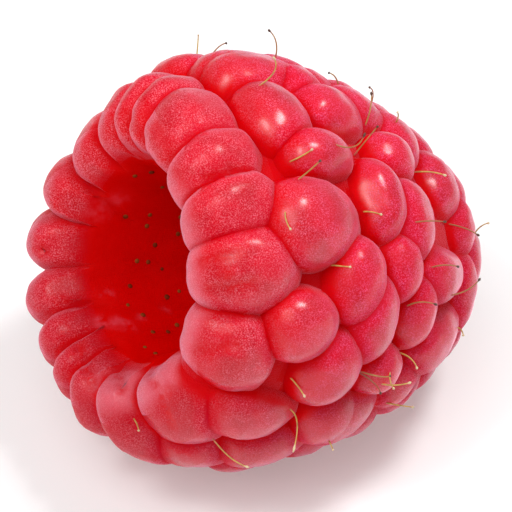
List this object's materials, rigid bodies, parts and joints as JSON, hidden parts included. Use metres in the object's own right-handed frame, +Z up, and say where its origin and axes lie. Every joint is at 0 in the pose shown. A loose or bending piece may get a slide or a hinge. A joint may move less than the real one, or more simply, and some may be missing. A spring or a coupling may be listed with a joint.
{
  "type": "raspberry",
  "caption": "Picked raspberry lying on its side: fused plump drupelets round a deep open hollow, long lobes wrapped over the rim, pressed flat spots underneath.",
  "frame": {"origin": "on the surface it lies on, under the middle of its bounding box", "axes": "+X from the open end towards the tip, which dips 22.5 degrees below level; +Z up"},
  "size_m": [0.023, 0.021, 0.021],
  "materials": {
    "flesh": "soft satin, velvety bloom over juicy pinkish red skin"
  },
  "bodies": {
    "root": {"raspberry": "flesh"}
  },
  "joints": []
}
